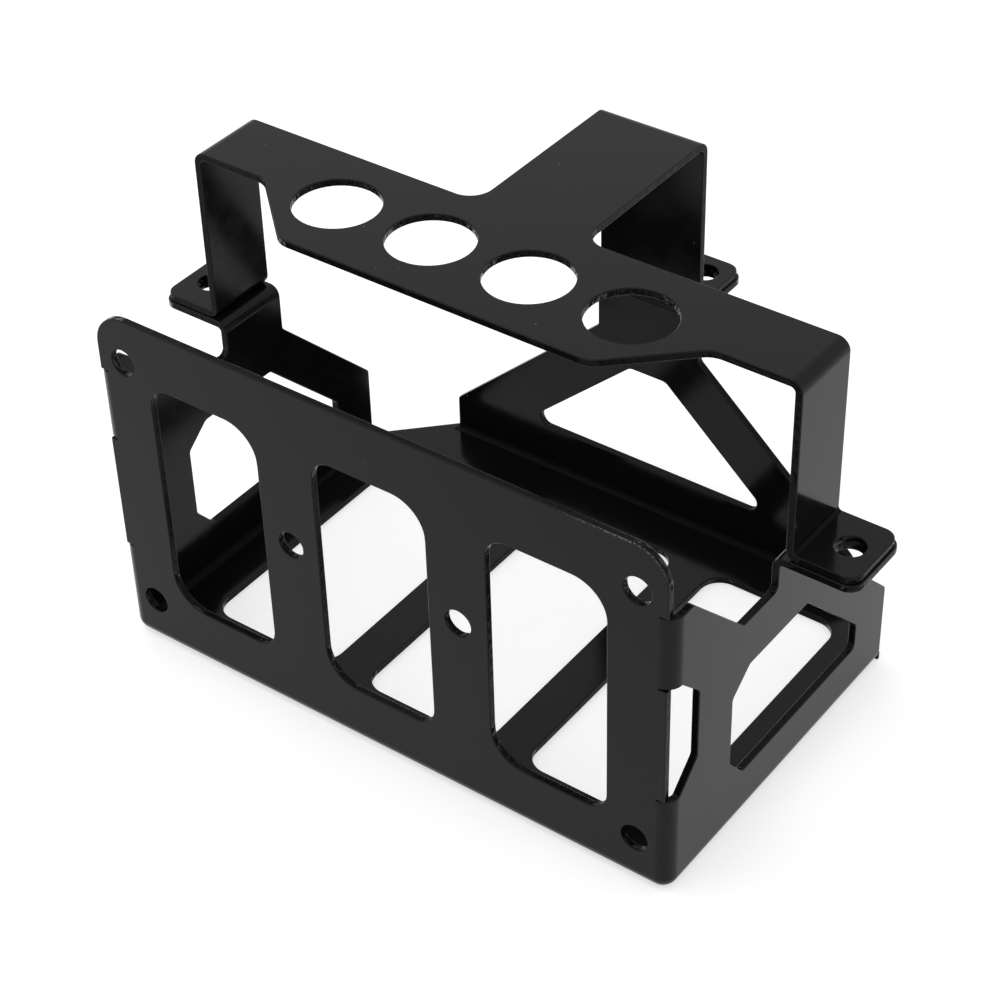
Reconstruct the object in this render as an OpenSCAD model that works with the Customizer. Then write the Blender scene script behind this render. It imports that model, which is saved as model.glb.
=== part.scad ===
// Battery tray folded from steel sheet, with the bracket that holds a battery down in it.
// The tray is one blank: a floor, four upright panels and three ears turned outward at the top.
// The bracket is a second blank: a drilled plate with three legs whose feet sit on the ears.
// Origin: middle of the overall width and depth, at the underside of the floor. Front faces -Y.

/* [Sheet] */
// Thickness of the steel sheet
sheet = 3; // [2:0.1:4]
// Inner radius of the bends round the floor and at the front corners
bend_r = 3; // [2:0.1:4]
// Inner radius of the bends under the ears
ear_bend_r = 1.5; // [1:0.1:3]
// Width of the relief cut beside a bend
relief = 0.5; // [0.3:0.1:2]

/* [Tray] */
// Outer width across the side panels
tray_w = 250; // [240:1:300]
// Outer depth from the front panel to the rear panel
tray_d = 177.5; // [172:0.5:200]
// Height of the ears' top faces above the underside of the floor
ear_h = 108; // [104:0.5:125]
// Height of the rim below every window in the side and rear panels
base_rim = 22.8; // [18:0.1:24]
// Width of the rim between a window and the panel's free edge
rim = 21.6; // [16:0.1:22]

/* [Floor] */
// Width of the rim outside the floor windows, at the left and right
floor_rim_x = 20.8; // [16:0.1:26]
// Width of the rim outside the floor windows, at the front and rear
floor_rim_y = 23.4; // [16:0.1:28]
// Width of the bars between the floor windows
floor_bar = 17.2; // [10:0.1:24]
// Corner radius of the floor windows
floor_window_r = 9; // [3:0.5:14]
// Length of the cut across each rear corner, measured along the edge
floor_corner_cut = 28.5; // [26:0.1:29.5]

/* [Front panel] */
// Height of the front panel
front_h = 152; // [140:0.5:170]
// Distance of the front panel's free edges inside the outer width
front_inset = 2.4; // [1:0.1:3.5]
// Radius of the front panel's top corners
front_corner_r = 14; // [6:0.5:20]
// Width of the rim beside the outer front windows
front_rim = 26; // [22:0.5:32]
// Width of the bars between the front windows
front_bar = 25.5; // [18:0.5:32]
// Height of the front windows' lower edge
front_window_low = 26.1; // [22:0.1:32]
// Height of the rim above the front windows
front_window_rim = 24.4; // [20:0.1:32]
// Small corner radius of the front windows
front_window_r = 9; // [3:0.5:12]
// Large corner radius of the front windows
front_window_big_r = 14; // [9:0.5:16]
// Diameter of the mounting holes in the front panel
front_hole_d = 11; // [8:0.1:12]
// Distance of the corner holes from the tray's outer width
front_hole_x = 14.3; // [13:0.1:16]
// Height of the lower corner holes
front_hole_low = 21; // [18:0.1:26]
// Distance of the upper corner holes below the panel's top edge
front_hole_top = 19; // [16:0.1:26]
// Height of the two holes in the bars
front_hole_mid = 82.7; // [60:0.1:100]

/* [Side panels] */
// Distance of the side panels' front ends below the front panel's top edge
side_front_drop = 26.2; // [22:0.1:34]
// Depth at which the front of a side panel starts to slope down
side_front_land = 11.8; // [9:0.1:16]
// Height of the level edge in front of the ear
side_shelf_h = 94; // [88:0.1:96]
// Distance of the side panels' rear edges in front of the rear panel's outer face
side_rear_gap = 29.7; // [29.7:0.1:38]
// Height of the rear edge of the side panels
side_rear_h = 37.8; // [34:0.1:42]
// Depth of the slot beside the front corner
slot_rear = 16.7; // [14:0.1:20]
// Height of the lower end of the slot
slot_low = 44; // [38:0.1:50]
// Height of the upper end of the slot
slot_high = 95.4; // [86:0.1:98]
// Length of the slopes at the slot's ends, along the edge
slot_slope = 10.7; // [6:0.1:11]
// Width of the post between the slot and the side window
side_post = 22.1; // [16:0.1:26]
// Long side of the cuts across the side window's two front corners
side_window_cut = 10.5; // [5:0.5:16]
// Short side of the same cuts
side_window_cut_short = 8.7; // [4:0.1:13]
// Width of the rib along the rear slope of the side panels
side_slope_rib = 17.7; // [14:0.1:20]
// Corner radius of the outlines and windows in the side panels
side_r = 2.5; // [1:0.5:4]

/* [Rear panel] */
// Width of the rear panel at its foot
rear_w = 191.4; // [180:0.1:191.4]
// Height at which the rear panel starts to taper
rear_taper_h = 18.6; // [15:0.1:22]
// Angle of the taper above the level
rear_slope = 42.2; // [38:0.1:45]
// Height of the rear window's upper edge
rear_window_high = 68.6; // [60:0.1:72]
// Corner radius of the rear window
rear_window_r = 4; // [2:0.5:6]

/* [Ears] */
// Distance that each ear reaches outside its panel
ear_reach = 29.3; // [25:0.1:34]
// Width of the two side ears
ear_w = 32; // [28:0.1:38]
// Depth of the middle of the side ears
ear_y = 81.6; // [78:0.1:84]
// Width of the rear ear
rear_ear_w = 47; // [43:0.1:54]
// Radius of the ears' outer corners
ear_r = 5.5; // [2:0.5:9]
// Diameter of the bolt holes in the ears and the feet
bolt_d = 11; // [8:0.1:12]
// Distance of the bolt holes outside the panel
bolt_out = 17.8; // [15:0.1:19]
// Distance between the two bolts of the rear ear
rear_bolt_pitch = 25; // [20:0.1:27]

/* [Hold-down bracket] */
// Height of the bracket's top face
plate_h = 182; // [176:0.5:200]
// Depth of the front edge of the plate
plate_front = 38.5; // [36:0.1:44]
// Length of the plate's front edge
plate_front_w = 131; // [126:0.5:140]
// Width of the plate where its front corners end at the arms
plate_wide_w = 191; // [184:0.5:200]
// Radius of the corners in the plate's outline
plate_r = 9; // [4:0.5:10]
// Diameter of the round windows in the plate
plate_hole_d = 32.8; // [24:0.1:36]
// Distance between the round windows
plate_hole_pitch = 41.8; // [40:0.1:46]
// Distance that each foot's edges stay inside the ear's
foot_inset = 0.7; // [0.5:0.1:2]
// Inner radius of the bends between the plate and the legs
plate_bend_r = 2; // [1:0.1:3]
// Inner radius of the bends above the feet
foot_bend_r = 1.5; // [1:0.1:2]
// Distance between a side panel and the leg that stands outside it
leg_gap = 1.5; // [1:0.1:2.5]
// Distance of the rear leg's outer face behind the rear panel
rear_leg_out = 0.5; // [0:0.1:1]

/* [Hidden] */
// Steps of one rounded corner in an outline, and facets of a round hole
arc_steps = 12;
$fn = 96;
coating = [0.13, 0.13, 0.14];
// Outer radius of a bend, where the flat parts on both sides of it end
bend_out = bend_r + sheet;
ear_bend_out = ear_bend_r + sheet;
plate_bend_out = plate_bend_r + sheet;
foot_bend_out = foot_bend_r + sheet;
half_w = tray_w / 2;
// Length that a drilled hole's cutter reaches past each face of the sheet
past = sheet / 3;
// Length of the straight lap at both ends of a bend, which reaches into the flat parts
lap = sheet / 3;
overall_d = tray_d + ear_reach;
// Height of the side panels' front ends and depth of their rear edges
side_front_h = front_h - side_front_drop;
side_rear = tray_d - side_rear_gap;
// Edges of the flat part of the floor
flat_x = half_w - bend_out;
flat_rear = tray_d - bend_out;
// Distance of the floor's corner nubs inside the panels' outer faces
nub_inset = sheet / 4;
// Front windows and the bars between them share the width inside the rims
front_window_w = (tray_w - 2 * front_rim - 2 * front_bar) / 3;
front_pitch = front_window_w + front_bar;
floor_window_w = (tray_w - 2 * floor_rim_x - 2 * floor_bar) / 3;
floor_pitch = floor_window_w + floor_bar;
// Height at which the bend of an ear starts
ear_bend_h = ear_h - ear_bend_out;
// The rear panel's half width at its foot and the rise of its taper
rear_half = rear_w / 2;
rear_rise = tan(rear_slope);
// Side leg and rear leg: inner faces
leg_x = half_w + leg_gap;
rear_leg_y = tray_d + rear_leg_out - sheet;
leg_w = ear_w - 2 * foot_inset;
rear_leg_w = rear_ear_w - 2 * foot_inset;
plate_rear = ear_y + leg_w / 2;
plate_hole_y = (plate_front + plate_rear) / 2;

// Corner p of an outline as the points of an arc of radius r that touches both of its edges
function corner(before, p, after, r) =
    let (
        u = (before - p) / norm(before - p),
        v = (after - p) / norm(after - p),
        half = acos(u * v) / 2,
        centre = p + (u + v) / norm(u + v) * r / sin(half),
        start = p + u * r / tan(half) - centre,
        turn = (180 - 2 * half) * sign(u.y * v.x - u.x * v.y)
    )
    [for (i = [0:arc_steps])
        let (a = turn * i / arc_steps)
        centre + [start.x * cos(a) - start.y * sin(a), start.x * sin(a) + start.y * cos(a)]];

// Closed outline from corners given as [x, y, radius], where radius 0 keeps a corner sharp
function outline(c) =
    let (n = len(c))
    [for (i = [0:n - 1])
        let (
            before = [c[(i + n - 1) % n].x, c[(i + n - 1) % n].y],
            p = [c[i].x, c[i].y],
            after = [c[(i + 1) % n].x, c[(i + 1) % n].y]
        )
        each (c[i].z > 0 ? corner(before, p, after, c[i].z) : [p])];

// Corners of one half, followed by their mirror images in reverse order
function mirrored(c) = concat(c, [for (i = [len(c) - 1:-1:0]) [-c[i].x, c[i].y, c[i].z]]);

// Rectangle with corner radii given from the lower left corner counterclockwise
function box_outline(low, high, r) = outline([
    [low.x, low.y, r[0]], [high.x, low.y, r[1]], [high.x, high.y, r[2]], [low.x, high.y, r[3]]]);

// Child shapes drawn in depth and height, extruded along +X
module upright_x(thickness) {
    rotate([90, 0, 90]) linear_extrude(thickness) children();
}

// Child shapes drawn in width and height, extruded along +Y
module upright_y(thickness) {
    translate([0, thickness, 0]) rotate([90, 0, 0]) linear_extrude(thickness) children();
}

// Quarter ring of the sheet's section in the plane, inner radius r
module quarter_ring(r) {
    intersection() {
        difference() {
            circle(r + sheet);
            circle(r);
        }
        square(r + sheet);
    }
}

// Quarter turn of sheet about +Z, inner radius r and height h, from the angle start onward,
// with a straight lap at both ends
module bend(r, h, start) {
    linear_extrude(h) rotate(start) {
        quarter_ring(r);
        translate([r, -lap]) square([sheet, lap]);
        translate([-lap, r]) square([lap, sheet]);
    }
}

// The same with its axis along +X, its angles counted from +Y towards +Z
module bend_x(r, h, start) {
    rotate([90, 0, 90]) bend(r, h, start);
}

// The same with its axis along -Y, its angles counted from +X towards +Z
module bend_y(r, h, start) {
    rotate([90, 0, 0]) bend(r, h, start);
}

// The children and their mirror image across the middle of the width
module both_sides() {
    children();
    mirror([1, 0, 0]) children();
}

// Ear or foot drawn outward along +X: a plate that starts where its bend ends
module tongue(start, end, width, holes) {
    difference() {
        linear_extrude(sheet) polygon(outline([
            [start, -width / 2, 0], [end, -width / 2, ear_r],
            [end, width / 2, ear_r], [start, width / 2, 0]]));
        for (y = holes)
            translate([bolt_out, y, -past]) cylinder(d = bolt_d, h = sheet + 2 * past);
    }
}

// Ear with its bend, outward along +X from a panel whose outer face is at x = 0
module ear(width, holes) {
    translate([0, 0, ear_h - sheet]) tongue(ear_bend_r, ear_reach, width, holes);
    translate([ear_bend_r, width / 2, ear_bend_h]) bend_y(ear_bend_r, width, 90);
}

module floor_plate() {
    rear_window = tray_d - floor_rim_y;
    linear_extrude(sheet) difference() {
        polygon(outline(mirrored([
            [flat_x, bend_out, 0],
            [flat_x, side_rear + relief, 0],
            [half_w - nub_inset, side_rear + relief, 0],
            [half_w - nub_inset, tray_d - floor_corner_cut + nub_inset, 0],
            [half_w - floor_corner_cut + nub_inset, tray_d - nub_inset, 0],
            [rear_half + relief, tray_d - nub_inset, 0],
            [rear_half + relief, flat_rear, 0]])));
        for (i = [-1:1])
            translate([i * floor_pitch, 0]) polygon(box_outline(
                [-floor_window_w / 2, floor_rim_y], [floor_window_w / 2, rear_window],
                [floor_window_r, floor_window_r, floor_window_r, floor_window_r]));
    }
}

// Flat front panel: its free edges run past the corner bends between and above them
module front_panel() {
    edge = half_w - front_inset;
    slot_top = slot_high - relief;
    window_high = front_h - front_window_rim;
    upright_y(sheet) difference() {
        polygon(outline(mirrored([
            [flat_x, bend_out, 0],
            [flat_x, slot_low + relief, 0],
            [edge, slot_low + relief, 0],
            [edge, slot_top, 0],
            [flat_x, slot_top, 0],
            [flat_x, side_front_h + relief, 0],
            [edge, side_front_h + relief, 0],
            [edge, front_h, front_corner_r]])));
        for (i = [-1:1])
            translate([i * front_pitch, 0]) polygon(box_outline(
                [-front_window_w / 2, front_window_low], [front_window_w / 2, window_high],
                [front_window_big_r, front_window_r, front_window_big_r, front_window_r]));
        for (x = [-1, 1], z = [front_hole_low, front_h - front_hole_top])
            translate([x * (half_w - front_hole_x), z]) circle(d = front_hole_d);
        for (x = [-1, 1])
            translate([x * front_pitch / 2, front_hole_mid]) circle(d = front_hole_d);
    }
}

// Right side panel, from its bends up to the bend of its ear
module side_panel() {
    neck_front = ear_y - ear_w / 2;
    neck_rear = ear_y + ear_w / 2;
    slope_end = side_front_land + side_front_h - side_shelf_h;
    slot_front = slot_rear - slot_slope;
    window_front = slot_rear + side_post;
    window_rear = side_rear - rim;
    window_high = side_shelf_h - rim;
    // Sum of depth and height along the rear slope of the window
    window_slope = side_rear + side_rear_h - side_slope_rib * sqrt(2);
    translate([half_w - sheet, 0, 0]) upright_x(sheet) difference() {
        polygon(outline([
            [bend_out, bend_out, 0],
            [side_rear, bend_out, 0],
            [side_rear, side_rear_h, side_r],
            [neck_rear, side_rear_h + side_rear - neck_rear, side_r],
            [neck_rear, ear_bend_h, 0],
            [neck_front, ear_bend_h, 0],
            [neck_front, side_shelf_h, side_r],
            [slope_end, side_shelf_h, side_r],
            [side_front_land, side_front_h, side_r],
            [bend_out, side_front_h, 0],
            [bend_out, slot_high, 0],
            [slot_front, slot_high, 0],
            [slot_rear, slot_high - slot_slope, side_r],
            [slot_rear, slot_low + slot_slope, side_r],
            [slot_front, slot_low, 0],
            [bend_out, slot_low, 0]]));
        polygon(outline([
            [window_front + side_window_cut_short, base_rim, side_r],
            [window_rear, base_rim, side_r],
            [window_rear, window_slope - window_rear, side_r],
            [window_slope - window_high, window_high, side_r],
            [window_front + side_window_cut, window_high, side_r],
            [window_front, window_high - side_window_cut_short, side_r],
            [window_front, base_rim + side_window_cut, side_r]]));
    }
}

// Rear panel: a taper up to the neck that carries the rear ear
module rear_panel() {
    neck = rear_ear_w / 2;
    neck_h = rear_taper_h + (rear_half - neck) * rear_rise;
    // Height of the window's slope above the middle of the panel
    window_peak = rear_taper_h + rear_half * rear_rise - rim / cos(rear_slope);
    translate([0, tray_d - sheet, 0]) upright_y(sheet) difference() {
        polygon(outline(mirrored([
            [rear_half, bend_out, 0],
            [rear_half, rear_taper_h, side_r],
            [neck, neck_h, side_r],
            [neck, ear_bend_h, 0]])));
        polygon(outline(mirrored([
            [(window_peak - base_rim) / rear_rise, base_rim, rear_window_r],
            [(window_peak - rear_window_high) / rear_rise, rear_window_high, rear_window_r]])));
    }
}

// Bends along the four edges of the floor
module floor_bends() {
    translate([-flat_x, bend_out, bend_out]) bend_x(bend_r, 2 * flat_x, 180);
    translate([-rear_half, flat_rear, bend_out]) bend_x(bend_r, rear_w, 270);
    both_sides() translate([flat_x, side_rear, bend_out])
        bend_y(bend_r, side_rear - bend_out, 270);
}

// Front corners: a ball corner over the floor, and two tabs that carry the bend up
module corner_bends() {
    both_sides() translate([flat_x, bend_out, 0]) {
        translate([0, 0, bend_out]) rotate([0, 0, 270]) rotate_extrude(angle = 90) {
            mirror([0, 1]) quarter_ring(bend_r);
            translate([bend_r, 0]) square([sheet, lap]);
        }
        translate([0, 0, bend_out]) bend(bend_r, slot_low - bend_out, 270);
        translate([0, 0, slot_high]) bend(bend_r, side_front_h - slot_high, 270);
    }
}

module tray() {
    color(coating) translate([0, -overall_d / 2, 0]) {
        floor_plate();
        front_panel();
        both_sides() side_panel();
        rear_panel();
        floor_bends();
        corner_bends();
        both_sides() translate([half_w, ear_y, 0]) ear(ear_w, [0]);
        translate([0, tray_d, 0]) rotate([0, 0, 90])
            ear(rear_ear_w, [-rear_bolt_pitch / 2, rear_bolt_pitch / 2]);
    }
}

// Plate of the bracket, flat up to the bends of its three legs
module plate() {
    difference() {
        translate([0, 0, plate_h - sheet]) linear_extrude(sheet) polygon(outline(mirrored([
            [plate_front_w / 2, plate_front, plate_r],
            [plate_wide_w / 2, plate_rear - leg_w, plate_r],
            [leg_x - plate_bend_r, plate_rear - leg_w, 0],
            [leg_x - plate_bend_r, plate_rear, 0],
            [rear_leg_w / 2, plate_rear, plate_r],
            [rear_leg_w / 2, rear_leg_y - plate_bend_r, 0]])));
        for (i = [-1.5:1.5])
            translate([i * plate_hole_pitch, plate_hole_y, plate_h - sheet - past])
                cylinder(d = plate_hole_d, h = sheet + 2 * past);
    }
}

// Leg drawn outward along +X from its inner face at x = 0: a bend, a drop and a foot
module leg(width, outer, holes) {
    foot_turn = ear_h + foot_bend_out;
    drop = plate_h - plate_bend_out - foot_turn;
    translate([-plate_bend_r, width / 2, plate_h - plate_bend_out]) bend_y(plate_bend_r, width, 0);
    translate([0, -width / 2, foot_turn]) cube([sheet, width, drop]);
    translate([foot_bend_out, width / 2, foot_turn]) bend_y(foot_bend_r, width, 180);
    translate([-outer, 0, ear_h]) tongue(foot_bend_out + outer, ear_reach - foot_inset, width, holes);
}

module hold_down() {
    color(coating) translate([0, -overall_d / 2, 0]) {
        plate();
        both_sides() translate([leg_x, ear_y, 0]) leg(leg_w, leg_gap, [0]);
        translate([0, rear_leg_y, 0]) rotate([0, 0, 90])
            leg(rear_leg_w, rear_leg_y - tray_d, [-rear_bolt_pitch / 2, rear_bolt_pitch / 2]);
    }
}

tray();
hold_down();
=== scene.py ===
"""Dresses the battery tray and its hold-down bracket and sets up the studio view of them.

Both pieces are folded from coated steel sheet. Each is rebuilt from its solid with rounded sheet edges, and
its faces are sorted into rolled faces, bends and cut walls, which the coating covers differently. Lengths
are in metres, in the frame of the solids.
"""
import logging
import math
from dataclasses import dataclass, field
from enum import Enum
from typing import Iterable

import bmesh
import bpy
from bmesh.types import BMesh, BMFace
from bpy.types import NodeSocket
from mathutils import Matrix, Vector
from mathutils.bvhtree import BVHTree


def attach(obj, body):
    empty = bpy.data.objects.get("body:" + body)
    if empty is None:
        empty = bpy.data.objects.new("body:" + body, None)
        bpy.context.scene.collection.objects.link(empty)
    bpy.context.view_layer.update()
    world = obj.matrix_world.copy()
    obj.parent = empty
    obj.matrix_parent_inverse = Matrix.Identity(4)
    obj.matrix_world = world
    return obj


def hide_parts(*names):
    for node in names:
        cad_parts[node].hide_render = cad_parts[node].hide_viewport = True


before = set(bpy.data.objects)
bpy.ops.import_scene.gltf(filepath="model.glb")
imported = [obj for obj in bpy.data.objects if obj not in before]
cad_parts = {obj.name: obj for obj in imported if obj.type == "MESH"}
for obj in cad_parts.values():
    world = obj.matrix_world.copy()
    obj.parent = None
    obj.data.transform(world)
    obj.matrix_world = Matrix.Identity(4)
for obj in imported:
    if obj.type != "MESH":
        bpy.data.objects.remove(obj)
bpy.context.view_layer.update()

LOG = logging.getLogger("battery_tray")
MM = 0.001
ACROSS = "across_sheet"
BODY = "root"


class Surface(Enum):
    """The kinds of surface on a folded sheet, by their place in a piece's material slots."""

    ROLLED = 0
    CUT = 1
    EDGE = 2
    BEND = 3
    CREASE = 4
    ROUND_CUT = 5


class NodeTree:
    """A small writer of shader nodes for one material or world."""

    def __init__(self, owner: bpy.types.ID) -> None:
        """Empties the owner's node tree and keeps it.

        Args:
            owner: A material or a world.
        """
        owner.use_nodes = True
        self.tree = owner.node_tree
        self.tree.nodes.clear()

    def add(self, kind: str, inputs: dict | None = None, **settings: object) -> bpy.types.Node:
        """Adds one node.

        Args:
            kind: The node's type without the ShaderNode prefix.
            inputs: Input values by socket name or number. A socket given as a value is linked.
            **settings: Properties of the node.

        Returns:
            The new node.
        """
        node = self.tree.nodes.new("ShaderNode" + kind)
        for name, value in settings.items():
            setattr(node, name, value)
        for key, value in (inputs or {}).items():
            if isinstance(value, NodeSocket):
                self.tree.links.new(value, node.inputs[key])
            else:
                node.inputs[key].default_value = value
        return node

    def math(self, operation: str, *values: float | NodeSocket) -> NodeSocket:
        """Adds a math node with these numbers or sockets as its inputs, and gives its output."""
        return self.add("Math", dict(enumerate(values)), operation=operation).outputs[0]

    def band(self, value: NodeSocket, low: float, high: float) -> NodeSocket:
        """Maps a value smoothly to 0 at its low end and 1 at its high end."""
        inputs = {"Value": value, "From Min": low, "From Max": high}
        return self.add("MapRange", inputs, interpolation_type="SMOOTHSTEP").outputs["Result"]

    def place(self) -> NodeSocket:
        """The place on the object, in its own coordinates."""
        return self.add("TexCoord").outputs["Object"]

    def noise(self, size: float, detail: float, fade: float = 0.55) -> NodeSocket:
        """Adds noise over the object's own coordinates.

        Args:
            size: Width of the noise's grains in metres.
            detail: Octaves of the noise.
            fade: Strength of each octave as a share of the one before.

        Returns:
            The noise value's socket.
        """
        inputs = {"Vector": self.place(), "Scale": 1 / size, "Detail": detail, "Roughness": fade}
        return self.add("TexNoise", inputs).outputs["Fac"]

    def relief(self, height: NodeSocket, depth: float, under: NodeSocket | None = None) -> NodeSocket:
        """Adds relief to the surface's normal.

        Args:
            height: Height of the relief, from 0 to 1.
            depth: The same from lowest to highest in metres.
            under: The normal that the relief is laid on, or none for the surface's own.

        Returns:
            The new normal's socket.
        """
        inputs = {"Height": height, "Strength": 1.0, "Distance": depth}
        if under is not None:
            inputs["Normal"] = under
        return self.add("Bump", inputs).outputs[0]


@dataclass(frozen=True)
class Coating:
    """Gloss black coating over steel sheet.

    Attributes:
        name: Name of the finish.
        color: Colour of the clean coating.
        roughness: Mean roughness.
        roughness_spread: Change of roughness from place to place.
        patch: Width of the places that differ in roughness.
        patch_band: Noise values of the smoothest and the roughest place.
        ior: Index of refraction of the coating.
        peel: Width of the ripples in the coating.
        peel_depth: Height of those ripples.
        wave: Width of the sheet's own long waves.
        wave_depth: Height of those waves.
        dust_and_glint: Colour of the dust specks and scuffs, and of the painted highlight along one edge.
        dust_and_glint_roughness: Roughness of the dust specks, the scuffs and the painted highlight.
        speck: Width of the cells that may hold a dust speck.
        speck_radius: Radius of a speck as a share of its cell.
        speck_share: Share of the cells that hold one.
    """

    name: str
    color: tuple[float, float, float] = (0.0045, 0.0045, 0.0047)
    roughness: float = 0.14
    roughness_spread: float = 0.05
    patch: float = 9 * MM
    patch_band: tuple[float, float] = (0.3, 0.7)
    ior: float = 1.24
    peel: float = 1.6 * MM
    peel_depth: float = 0.0015 * MM
    wave: float = 38 * MM
    wave_depth: float = 0.02 * MM
    dust_and_glint: tuple[float, float, float] = (0.1, 0.1, 0.1)
    dust_and_glint_roughness: float = 0.6
    speck: float = 6.5 * MM
    speck_radius: float = 0.05
    speck_share: float = 0.05

    def material(self) -> bpy.types.Material:
        """Builds the material.

        Returns:
            The new material.
        """
        material = bpy.data.materials.new(self.name)
        nodes = NodeTree(material)
        pale = self._pale(nodes)
        # Pale places take the dust colour; on the rounded edges they include a painted highlight.
        colors = {"Factor": pale, "A": (*self.color, 1), "B": (*self.dust_and_glint, 1)}
        color = nodes.add("Mix", colors, data_type="RGBA")
        shader = nodes.add("BsdfPrincipled", {
            "Base Color": self._color_output(color),
            "Roughness": self._roughness(nodes, pale),
            "IOR": self.ior,
            "Normal": self._relief(nodes),
        })
        nodes.add("OutputMaterial", {"Surface": shader.outputs[0]})
        return material

    @staticmethod
    def _color_output(mix: bpy.types.Node) -> NodeSocket:
        """The colour output of a mix node, which also has value outputs of the same name."""
        return next(socket for socket in mix.outputs if socket.type == "RGBA")

    def _roughness(self, nodes: NodeTree, pale: NodeSocket) -> NodeSocket:
        """Varies the roughness from place to place and makes dust and the painted highlight rough.

        Args:
            nodes: The material's nodes.
            pale: A socket that is 1 on dust and on the painted highlight, and 0 on the clean coating.

        Returns:
            The roughness's socket.
        """
        spread = nodes.band(nodes.noise(self.patch, 3.0), *self.patch_band)
        low = self.roughness - self.roughness_spread / 2
        clean = nodes.math("MULTIPLY_ADD", spread, self.roughness_spread, low)
        return nodes.math("MAXIMUM", clean, nodes.math("MULTIPLY", pale, self.dust_and_glint_roughness))

    def _pale(self, nodes: NodeTree) -> NodeSocket:
        """Scatters round dust specks.

        Args:
            nodes: The material's nodes.

        Returns:
            A socket that is 1 on a speck and 0 elsewhere.
        """
        cells = nodes.add("TexVoronoi", {"Vector": nodes.place(), "Scale": 1 / self.speck})
        pick = nodes.add("SeparateColor", {"Color": cells.outputs["Color"]}).outputs[0]
        near = nodes.math("LESS_THAN", cells.outputs["Distance"], self.speck_radius)
        chosen = nodes.math("LESS_THAN", pick, self.speck_share)
        return nodes.math("MULTIPLY", near, chosen)

    def _relief(self, nodes: NodeTree) -> NodeSocket:
        """Lays the ripples of the coating over the long waves of the sheet."""
        waves = nodes.relief(nodes.noise(self.wave, 1.0), self.wave_depth)
        return nodes.relief(nodes.noise(self.peel, 2.0), self.peel_depth, waves)


@dataclass(frozen=True)
class CutWall(Coating):
    """The coating on a cut wall, where the marks that the cutter left show through.

    Attributes:
        ridge: Width of the ridges, which run straight across the sheet.
        ridge_depth: Height of the ridges.
        gouge: Width of the broad marks that the ridges cross.
        gouge_depth: Height of the broad marks.
    """

    roughness: float = 0.14
    ior: float = 1.14
    ridge: float = 1.1 * MM
    ridge_depth: float = 0.1 * MM
    gouge: float = 4.2 * MM
    gouge_depth: float = 0.25 * MM

    def _relief(self, nodes: NodeTree) -> NodeSocket:
        """Lays the cutter's ridges and broad marks over the coating's ripples.

        Args:
            nodes: The material's nodes.

        Returns:
            The normal's socket.
        """
        marks = nodes.relief(nodes.noise(self.gouge, 1.0), self.gouge_depth, super()._relief(nodes))
        place = nodes.place()
        across = nodes.add("Attribute", attribute_name=ACROSS).outputs["Vector"]
        depth = nodes.add("VectorMath", {0: place, 1: across}, operation="DOT_PRODUCT").outputs["Value"]
        step = nodes.add("VectorMath", {0: across, "Scale": depth}, operation="SCALE").outputs["Vector"]
        along = nodes.add("VectorMath", {0: place, 1: step}, operation="SUBTRACT").outputs["Vector"]
        ridges = nodes.add("TexNoise", {"Vector": along, "Scale": 1 / self.ridge, "Detail": 2.0})
        return nodes.relief(ridges.outputs["Fac"], self.ridge_depth, marks)


@dataclass(frozen=True)
class RoundCutWall(CutWall):
    """The coating on a round cut wall, where the cutter turned and left its marks deepest."""

    roughness: float = 0.08
    ior: float = 1.17
    ridge_depth: float = 0.2 * MM
    gouge_depth: float = 2.8 * MM


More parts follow.
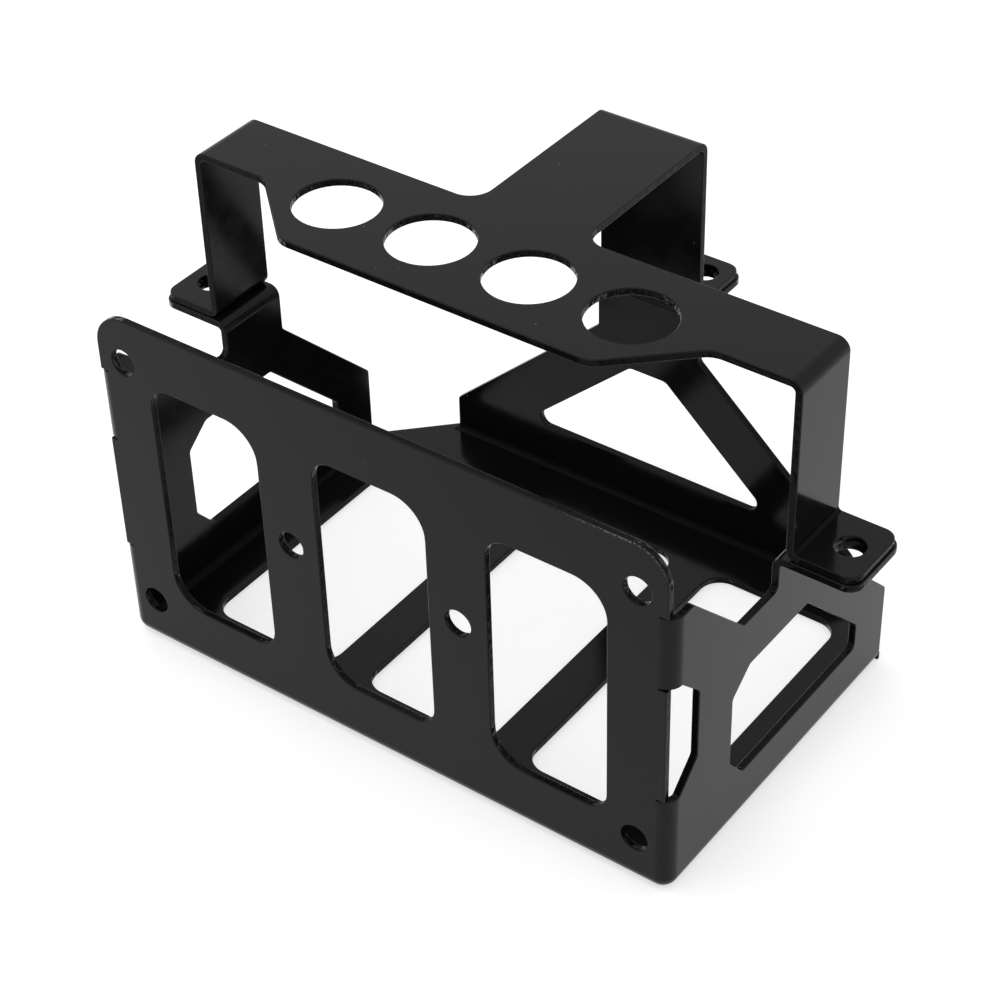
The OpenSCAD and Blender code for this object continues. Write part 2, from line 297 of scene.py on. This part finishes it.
@dataclass(frozen=True)
class WornEdgeWithGlints(Coating):
    """The thin coating on rounded edges, with pale scuffs and a painted highlight strung along one corner.

    Attributes:
        scuff: Width of the scuffs.
        scuff_band: Noise values at which a scuff begins and is palest.
        scuff_strength: How pale the scuffs are.
        scuffed_patch: Width of the stretches that are scuffed.
        scuffed_band: Noise values at which such a stretch begins and is full.
        glint_grain: Width of the pale bits of the painted highlight.
        glint_band: Noise values at which such a bit begins and is palest.
        glint_rise: What the noise gains at the middle of the painted highlight's run, so that its bits lie
            closer there.
        glint_place: Middle of the painted highlight's run, on the front panel's upper right edge.
        glint_reach: Distance from that place at which the painted highlight ends.
        glint_height: Height under which there is no painted highlight.
    """

    roughness: float = 0.17
    scuff: float = 1.1 * MM
    scuff_band: tuple[float, float] = (0.6, 0.75)
    scuff_strength: float = 0.35
    scuffed_patch: float = 24 * MM
    scuffed_band: tuple[float, float] = (0.5, 0.65)
    glint_grain: float = 0.8 * MM
    glint_band: tuple[float, float] = (0.5, 0.68)
    glint_rise: float = 0.12
    glint_place: tuple[float, float, float] = (0.105, -0.1034, 0.151)
    glint_reach: float = 0.04
    glint_height: float = 0.142

    def _pale(self, nodes: NodeTree) -> NodeSocket:
        """Adds the scuffs and the painted highlight to the dust specks.

        Args:
            nodes: The material's nodes.

        Returns:
            A socket that is 1 where the surface is palest and 0 where it is clean.
        """
        # The scuffs are wear; the run along the front panel's upper right edge is a painted highlight.
        wear_and_glint = nodes.math("MAXIMUM", self._scuffs(nodes), self._painted_glints(nodes))
        return nodes.math("MAXIMUM", super()._pale(nodes), wear_and_glint)

    def _scuffs(self, nodes: NodeTree) -> NodeSocket:
        """Scatters scuffs over some stretches of the edges.

        Args:
            nodes: The material's nodes.

        Returns:
            A socket that is highest on a scuff and 0 elsewhere.
        """
        scuffs = nodes.band(nodes.noise(self.scuff, 3.0), *self.scuff_band)
        stretches = nodes.band(nodes.noise(self.scuffed_patch, 1.0), *self.scuffed_band)
        return nodes.math("MULTIPLY", nodes.math("MULTIPLY", scuffs, stretches), self.scuff_strength)

    def _painted_glints(self, nodes: NodeTree) -> NodeSocket:
        """Paints a highlight along one corner's edges as a broken pale line, densest in the middle of the
        run.

        Args:
            nodes: The material's nodes.

        Returns:
            A socket that is 1 where the painted highlight is palest and 0 elsewhere.
        """
        # Painted highlight: pale bits strung along the front panel's upper right edge stand for glints of
        # light there.
        place = nodes.place()
        away = nodes.add("VectorMath", {0: place, 1: self.glint_place}, operation="DISTANCE")
        far = nodes.band(away.outputs["Value"], 0.0, self.glint_reach)
        near = nodes.math("SUBTRACT", 1.0, far)
        height = nodes.add("SeparateXYZ", {"Vector": place}).outputs["Z"]
        upper = nodes.math("GREATER_THAN", height, self.glint_height)
        grain = nodes.math("MULTIPLY_ADD", near, self.glint_rise, nodes.noise(self.glint_grain, 3.0))
        glints = nodes.math("MULTIPLY", nodes.band(grain, *self.glint_band), near)
        return nodes.math("MULTIPLY", glints, upper)


@dataclass
class FoldedSheet:
    """A piece folded from sheet, rebuilt from its solid with rounded edges.

    Attributes:
        node: Name of the solid that the piece stands for.
        finishes: The finish of each kind of surface.
        sheet: Thickness of the sheet.
        slack: Difference from that thickness past which a face is a cut wall.
        probe: Depth under a face at which its thickness test starts.
        weld: Distance under which two corners of the solid are one.
        flat: Angle between two faces up to which they are one flat face.
        sharp: Angle between two faces past which their edge is rounded.
        strip: Mean width under which a turning rolled face is a strip of a bend.
        short_wall: Length under which a turning cut wall is a strip of a round wall.
        edge_radius: Radius of the rounded sheet edges.
        edge_steps: Strips across one rounded edge.
        normal_weight: How far large faces lead the shading, at most 100.
        normal_threshold: Difference in weight under which two faces count the same.
        piece: The piece, once it is built.
    """

    node: str
    finishes: dict[Surface, Coating] = field(default_factory=dict)
    sheet: float = 3 * MM
    slack: float = 0.15 * MM
    probe: float = 0.02 * MM
    weld: float = 0.001 * MM
    flat: float = math.radians(0.4)
    sharp: float = math.radians(28)
    strip: float = 2 * MM
    short_wall: float = 4 * MM
    edge_radius: float = 0.45 * MM
    edge_steps: int = 3
    normal_weight: int = 100
    normal_threshold: float = 0.0001
    piece: bpy.types.Object | None = None

    def build(self) -> None:
        """Copies the solid's faces into a new piece, merges flat ones and sorts them by kind."""
        name = f"{self.node}_coated"
        mesh = bpy.data.meshes.new(name)
        shape = bmesh.new()
        shape.from_mesh(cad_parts[self.node].data)
        bmesh.ops.remove_doubles(shape, verts=shape.verts, dist=self.weld)
        bmesh.ops.dissolve_limit(shape, angle_limit=self.flat, verts=shape.verts, edges=shape.edges)
        self._sort_faces(shape)
        shape.to_mesh(mesh)
        shape.free()
        self.piece = bpy.data.objects.new(name, mesh)
        bpy.context.scene.collection.objects.link(self.piece)

    def _sort_faces(self, shape: BMesh) -> None:
        """Gives each face its kind of surface, smooth shading and the direction across the sheet.

        Args:
            shape: The piece's faces.
        """
        tree = BVHTree.FromBMesh(shape)
        for face, point in self._points_inside(shape).items():
            hit = tree.ray_cast(point - face.normal * self.probe, -face.normal)
            depth = (hit[3] or 0) + self.probe
            face.material_index = self._kind(face, depth).value
            face.smooth = True
        across = shape.faces.layers.float_vector.new(ACROSS)
        for face in shape.faces:
            face[across] = self._across(face)

    @staticmethod
    def _points_inside(shape: BMesh) -> dict[BMFace, Vector]:
        """Finds a point inside each face, also where windows pierce it.

        Args:
            shape: The piece's faces.

        Returns:
            The middle of each face's largest triangle.
        """
        best: dict[BMFace, tuple[float, Vector]] = {}
        for corners in shape.calc_loop_triangles():
            a, b, c = (loop.vert.co for loop in corners)
            area = (b - a).cross(c - a).length
            face = corners[0].face
            if face not in best or area > best[face][0]:
                best[face] = (area, (a + b + c) / 3)
        return {face: point for face, (_, point) in best.items()}

    def _kind(self, face: BMFace, depth: float) -> Surface:
        """Tells what kind of surface a face is.

        Args:
            face: A face of the sheet.
            depth: Depth of the steel behind it.

        Returns:
            The kind of surface.
        """
        if abs(depth - self.sheet) > self.slack:
            return Surface.ROUND_CUT if self._is_round_wall(face) else Surface.CUT
        if self._is_strip(face):
            return Surface.CREASE if self._turn(face) < 0 else Surface.BEND
        return Surface.ROLLED

    def _is_round_wall(self, face: BMFace) -> bool:
        """Whether a cut face is one of a round wall's short strips."""
        turns = (abs(edge.calc_face_angle_signed(0.0)) for edge in face.edges)
        return (
            face.calc_area() / self.sheet < self.short_wall
            and any(self.flat < turn < self.sharp for turn in turns)
        )

    def _is_strip(self, face: BMFace) -> bool:
        """Whether a rolled face is one of a bend's narrow strips."""
        width = face.calc_area() / max(edge.calc_length() for edge in face.edges)
        return width < self.strip and abs(self._turn(face)) > self.flat

    @staticmethod
    def _turn(face: BMFace) -> float:
        """The angle across a face's longest edge, which is below 0 on the inner side of a bend."""
        longest = max(face.edges, key=lambda edge: edge.calc_length())
        return longest.calc_face_angle_signed(0.0)

    @staticmethod
    def _across(face: BMFace) -> Vector:
        """Finds the direction across the sheet at a cut wall.

        Args:
            face: A face of the sheet.

        Returns:
            The normal of the rolled face on its longest shared edge, or its own normal where it has none.
        """
        walls = (Surface.CUT.value, Surface.ROUND_CUT.value)
        best = max(
            ((edge.calc_length(), other.normal)
             for edge in face.edges for other in edge.link_faces
             if other is not face and other.material_index not in walls),
            key=lambda pair: pair[0],
            default=(0.0, face.normal),
        )
        return best[1].copy()

    def round_edges(self) -> None:
        """Rounds every sharp edge of the sheet and keeps the flat faces' shading flat."""
        bevel = self.piece.modifiers.new("rounded_edges", "BEVEL")
        bevel.width = self.edge_radius
        bevel.segments = self.edge_steps
        bevel.limit_method = "ANGLE"
        bevel.angle_limit = self.sharp
        bevel.use_clamp_overlap = False
        bevel.material = Surface.EDGE.value
        bevel.miter_outer = "MITER_ARC"
        shading = self.piece.modifiers.new("flat_shading", "WEIGHTED_NORMAL")
        shading.mode = "FACE_AREA"
        shading.weight = self.normal_weight
        shading.thresh = self.normal_threshold

    def dress(self) -> None:
        """Gives the piece its finishes and puts it in place of the solid."""
        for surface in Surface:
            self.piece.data.materials.append(self.finishes[surface].material())
        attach(self.piece, BODY)
        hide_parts(self.node)

    def make(self) -> bpy.types.Object:
        """Builds, rounds and dresses the piece.

        Returns:
            The finished piece.
        """
        self.build()
        self.round_edges()
        self.dress()
        return self.piece


@dataclass
class Tray(FoldedSheet):
    """The folded tray."""

    node: str = "tray"


@dataclass
class HoldDown(FoldedSheet):
    """The folded bracket whose feet rest on the tray's ears."""

    node: str = "hold_down"


@dataclass(frozen=True)
class PhotoCamera:
    """The camera at the photograph's place.

    Attributes:
        place: Where it stands.
        azimuth: Direction from which it looks, in degrees.
        elevation: Height of that direction above the horizon, in degrees.
        roll: Turn about its own axis, in degrees.
        focal_px: Focal length in pixels of the photograph.
        frame_px: Width of the photograph in pixels.
        sensor_mm: Width of the sensor.
    """

    place: tuple[float, float, float] = (0.4449, -0.6152, 0.6571)
    azimuth: float = 37.15
    elevation: float = 38.52
    roll: float = -1.72
    focal_px: float = 2531.3
    frame_px: float = 1000.0
    sensor_mm: float = 36.0

    def make(self) -> None:
        """Adds the camera and makes it the scene's."""
        data = bpy.data.cameras.new("photo_camera")
        data.sensor_width = self.sensor_mm
        data.lens = self.focal_px * self.sensor_mm / self.frame_px
        turn = math.radians(self.azimuth)
        lift = math.radians(self.elevation)
        back = Vector((math.sin(turn) * math.cos(lift), -math.cos(turn) * math.cos(lift), math.sin(lift)))
        level = Vector((math.cos(turn), math.sin(turn), 0))
        right = Matrix.Rotation(math.radians(self.roll), 3, back) @ level
        up = back.cross(right)
        pose = Matrix((right, up, back)).transposed().to_4x4()
        pose.translation = Vector(self.place)
        camera = bpy.data.objects.new("photo_camera", data)
        camera.matrix_world = pose
        bpy.context.scene.collection.objects.link(camera)
        bpy.context.scene.camera = camera


@dataclass(frozen=True)
class Studio:
    """A white studio: a pale floor, an even sky and one large soft lamp.

    Attributes:
        floor_size: Width of the floor.
        floor_color: Grey level of the floor.
        floor_glow: Light added to the floor where the camera or a reflection sees it.
        sky_seen: Brightness of the sky where the camera or a reflection sees it.
        sky_light: Brightness of the sky as a source of soft light.
        lamp_size: Width of the soft lamp.
        lamp_power: Power of the soft lamp in watts.
        lamp_place: Where the soft lamp hangs.
    """

    floor_size: float = 14.0
    floor_color: float = 0.65
    floor_glow: float = 0.55
    sky_seen: float = 1.0
    sky_light: float = 0.85
    lamp_size: float = 1.6
    lamp_power: float = 7.0
    lamp_place: tuple[float, float, float] = (-0.6, -0.5, 1.9)

    @staticmethod
    def _seen(nodes: NodeTree) -> NodeSocket:
        """Tells what is looked at from what only gives light.

        Args:
            nodes: The nodes of a material or world.

        Returns:
            A socket that is 1 for what the camera, a reflection or clear material sees.
        """
        path = nodes.add("LightPath")
        seen = nodes.math("MAXIMUM", path.outputs["Is Camera Ray"], path.outputs["Is Glossy Ray"])
        return nodes.math("MAXIMUM", seen, path.outputs["Is Transmission Ray"])

    def _floor(self) -> bpy.types.Object:
        """Lays the floor under the object.

        Returns:
            The floor.
        """
        half = self.floor_size / 2
        mesh = bpy.data.meshes.new("floor")
        corners = [(-half, -half, 0), (half, -half, 0), (half, half, 0), (-half, half, 0)]
        mesh.from_pydata(corners, [], [(0, 1, 2, 3)])
        material = bpy.data.materials.new("pale_floor")
        nodes = NodeTree(material)
        matte = nodes.add("BsdfDiffuse", {"Color": (self.floor_color,) * 3 + (1,)})
        glow = nodes.add("Emission", {
            "Color": (1, 1, 1, 1),
            "Strength": nodes.math("MULTIPLY", self._seen(nodes), self.floor_glow),
        })
        both = nodes.add("AddShader", {0: matte.outputs[0], 1: glow.outputs[0]})
        nodes.add("OutputMaterial", {"Surface": both.outputs[0]})
        mesh.materials.append(material)
        floor = bpy.data.objects.new("floor", mesh)
        bpy.context.scene.collection.objects.link(floor)
        return floor

    def _sky(self) -> None:
        """Sets the even sky."""
        world = bpy.data.worlds.new("white_sky")
        bpy.context.scene.world = world
        nodes = NodeTree(world)
        levels = {"Value": self._seen(nodes), "To Min": self.sky_light, "To Max": self.sky_seen}
        strength = nodes.add("MapRange", levels).outputs["Result"]
        sky = nodes.add("Background", {"Color": (1, 1, 1, 1), "Strength": strength})
        nodes.add("OutputWorld", {"Surface": sky.outputs[0]})

    def _lamp(self) -> None:
        """Hangs the soft lamp."""
        data = bpy.data.lights.new("soft_lamp", "AREA")
        data.size = self.lamp_size
        data.energy = self.lamp_power
        lamp = bpy.data.objects.new("soft_lamp", data)
        lamp.location = self.lamp_place
        lamp.rotation_euler = (-Vector(self.lamp_place)).to_track_quat("-Z", "Y").to_euler()
        bpy.context.scene.collection.objects.link(lamp)

    def make(self) -> None:
        """Builds the floor, the sky and the lamp."""
        self._floor()
        self._sky()
        self._lamp()


def main() -> None:
    """Builds the camera, the studio and both pieces."""
    logging.basicConfig(level=logging.INFO, format="%(message)s")
    bpy.context.scene.view_settings.view_transform = "Standard"
    PhotoCamera().make()
    Studio().make()
    finishes = {
        Surface.ROLLED: Coating("coated_face"),
        Surface.CUT: CutWall("coated_cut_wall"),
        Surface.EDGE: WornEdgeWithGlints("coated_edge"),
        Surface.BEND: Coating("coated_bend", roughness=0.2),
        Surface.CREASE: Coating("coated_crease", roughness=0.36, ior=1.12),
        Surface.ROUND_CUT: RoundCutWall("coated_round_wall"),
    }
    for sheet in (Tray(finishes=finishes), HoldDown(finishes=finishes)):
        piece = sheet.make()
        LOG.info("%s: %d faces before rounding", piece.name, len(piece.data.polygons))


if __name__ == "__main__":
    main()
